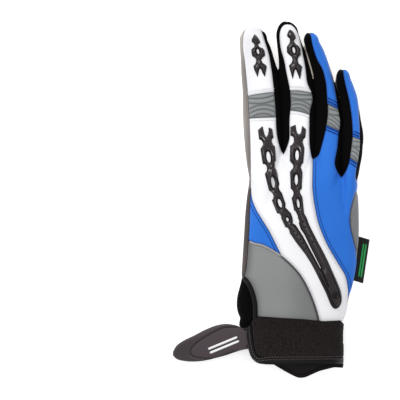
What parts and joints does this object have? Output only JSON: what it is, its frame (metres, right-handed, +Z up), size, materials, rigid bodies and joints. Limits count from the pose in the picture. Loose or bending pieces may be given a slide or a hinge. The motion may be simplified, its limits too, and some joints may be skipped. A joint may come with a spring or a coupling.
{
  "type": "non-slip full-finger glove",
  "caption": "Full-finger grip glove for the right hand: panelled neoprene back, ribbed knuckle panels, raised rubber chain relief, leather palm, wrist band with pull tab.",
  "frame": {"origin": "middle of the glove's footprint on the table, at table height", "axes": "+Y from the wrist to the fingertips, +X to the little-finger side, +Z up out of the back of the hand"},
  "size_m": [0.134, 0.2432, 0.0495],
  "materials": {
    "white_neoprene": "matt knit-faced neoprene",
    "blue_neoprene": "matt knit-faced neoprene",
    "grey_neoprene": "matt knit-faced neoprene",
    "dark_grey_cloth": "matt knit",
    "ribbed_stretch": "ribbed stretch knit, satin",
    "black_knit": "matt stretch knit",
    "grip_leather": "matt synthetic leather",
    "loop_fleece": "loop-faced neoprene",
    "satin_binding": "satin woven tape",
    "relief_rubber": "moulded rubber, satin",
    "tab_rubber": "moulded rubber, matt",
    "label_cloth": "woven ribbon"
  },
  "bodies": {
    "root": {"back_white": "white_neoprene", "back_blue": "blue_neoprene", "back_blue_corner": "blue_neoprene", "back_grey_wrist": "grey_neoprene", "side_grey": "grey_neoprene", "side_thumb": "dark_grey_cloth", "side_little": "black_knit", "vent_gusset": "black_knit", "tip_index": "white_neoprene", "tip_middle": "white_neoprene", "tip_ring": "blue_neoprene", "tip_little": "blue_neoprene", "flex_index": "ribbed_stretch", "flex_middle": "ribbed_stretch", "flex_ring": "ribbed_stretch", "flex_little": "ribbed_stretch", "fourchette_index_middle": "black_knit", "fourchette_middle_ring": "black_knit", "fourchette_ring_little": "black_knit", "palm": "grip_leather", "thumb_front": "grip_leather", "thumb_back": "dark_grey_cloth", "vent_binding": "satin_binding", "cuff_band": "loop_fleece", "cuff_binding": "satin_binding", "cuff_palm": "loop_fleece", "pull_tab": "tab_rubber", "side_label": "label_cloth", "relief_hand": "relief_rubber", "relief_index_tip": "relief_rubber", "relief_middle_tip": "relief_rubber"}
  },
  "joints": []
}
